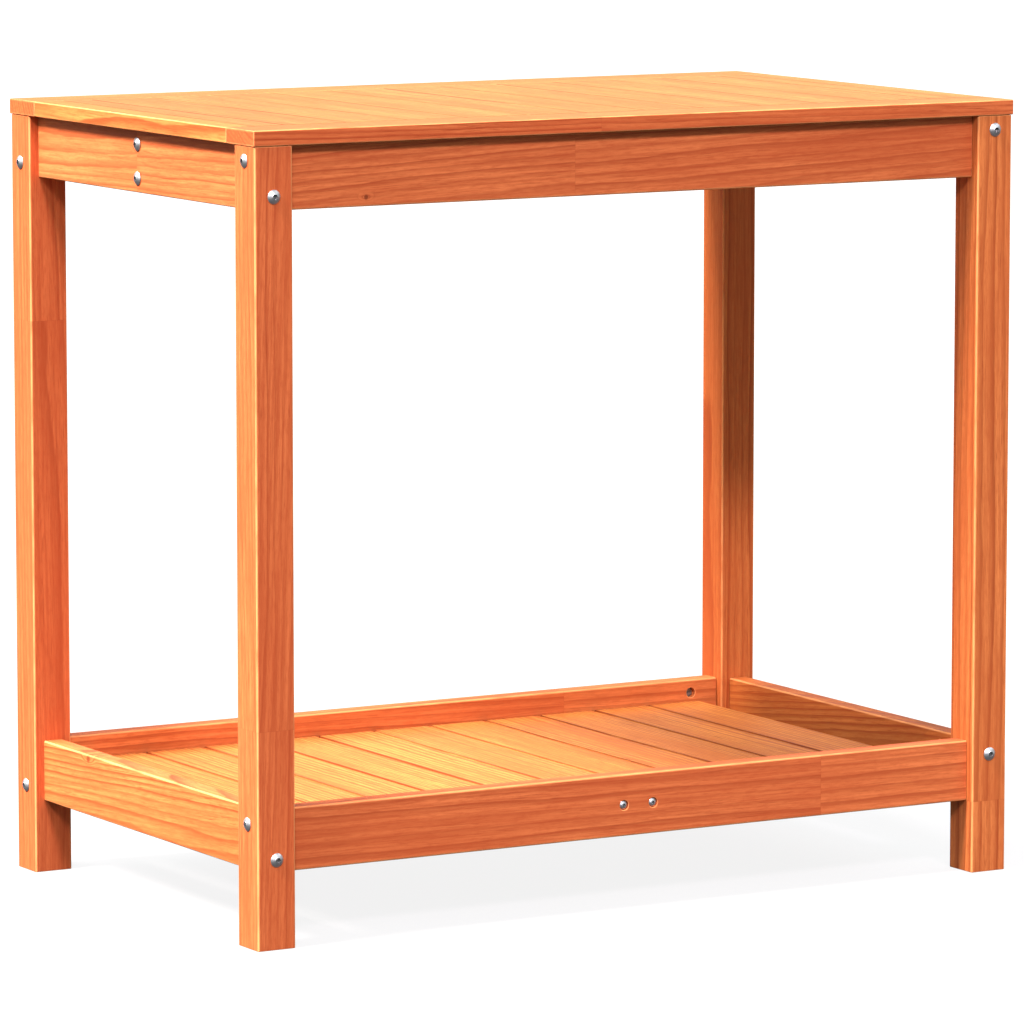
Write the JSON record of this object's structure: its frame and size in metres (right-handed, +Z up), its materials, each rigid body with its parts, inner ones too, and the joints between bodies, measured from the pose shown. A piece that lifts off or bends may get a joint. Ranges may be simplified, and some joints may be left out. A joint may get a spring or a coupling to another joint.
{
  "type": "potting bench",
  "caption": "Rectangular wooden potting bench with a flat boarded worktop, square bolted legs, aprons and a low slatted shelf set inside a raised rail frame.",
  "frame": {"origin": "on the floor, under the middle of the worktop", "axes": "+X along the length, to the right as seen from the front; +Y to the back; +Z up"},
  "size_m": [0.8294, 0.5044, 0.75],
  "materials": {
    "frame_pine": "wax-brown stained pine, planed, low sheen",
    "worktop_pine": "wax-brown stained pine, planed and sanded, soft sheen",
    "bolt_steel": "bright zinc plate"
  },
  "bodies": {
    "root": {"apron_back": "frame_pine", "apron_bolt_back_left_lower": "bolt_steel", "apron_bolt_back_left_upper": "bolt_steel", "apron_bolt_back_right_lower": "bolt_steel", "apron_bolt_back_right_upper": "bolt_steel", "apron_bolt_front_left_lower": "bolt_steel", "apron_bolt_front_left_upper": "bolt_steel", "apron_bolt_front_right_lower": "bolt_steel", "apron_bolt_front_right_upper": "bolt_steel", "apron_front": "frame_pine", "apron_left": "frame_pine", "apron_right": "frame_pine", "centre_stretcher": "frame_pine", "leg_back_left": "frame_pine", "leg_back_right": "frame_pine", "leg_front_left": "frame_pine", "leg_front_right": "frame_pine", "shelf_bolt_back_left_lower": "bolt_steel", "shelf_bolt_back_left_upper": "bolt_steel", "shelf_bolt_back_right_lower": "bolt_steel", "shelf_bolt_back_right_upper": "bolt_steel", "shelf_bolt_front_left_lower": "bolt_steel", "shelf_bolt_front_left_upper": "bolt_steel", "shelf_bolt_front_right_lower": "bolt_steel", "shelf_bolt_front_right_upper": "bolt_steel", "shelf_ledger_back": "frame_pine", "shelf_ledger_front": "frame_pine", "shelf_rail_back": "frame_pine", "shelf_rail_front": "frame_pine", "shelf_rail_left": "frame_pine", "shelf_rail_right": "frame_pine", "shelf_slat_01": "frame_pine", "shelf_slat_02": "frame_pine", "shelf_slat_03": "frame_pine", "shelf_slat_04": "frame_pine", "shelf_slat_05": "frame_pine", "shelf_slat_06": "frame_pine", "shelf_slat_07": "frame_pine", "shelf_slat_08": "frame_pine", "shelf_slat_09": "frame_pine", "shelf_slat_10": "frame_pine", "shelf_slat_11": "frame_pine", "worktop_batten_back": "frame_pine", "worktop_batten_front": "frame_pine", "worktop_board_01": "worktop_pine", "worktop_board_02": "worktop_pine", "worktop_board_03": "worktop_pine", "worktop_board_04": "worktop_pine", "worktop_board_05": "worktop_pine", "worktop_board_06": "worktop_pine", "worktop_board_07": "worktop_pine", "worktop_board_08": "worktop_pine", "worktop_board_09": "worktop_pine", "worktop_board_10": "worktop_pine", "worktop_board_11": "worktop_pine", "worktop_board_back": "worktop_pine", "worktop_board_front": "worktop_pine", "worktop_board_left": "worktop_pine", "worktop_board_right": "worktop_pine"}
  },
  "joints": []
}
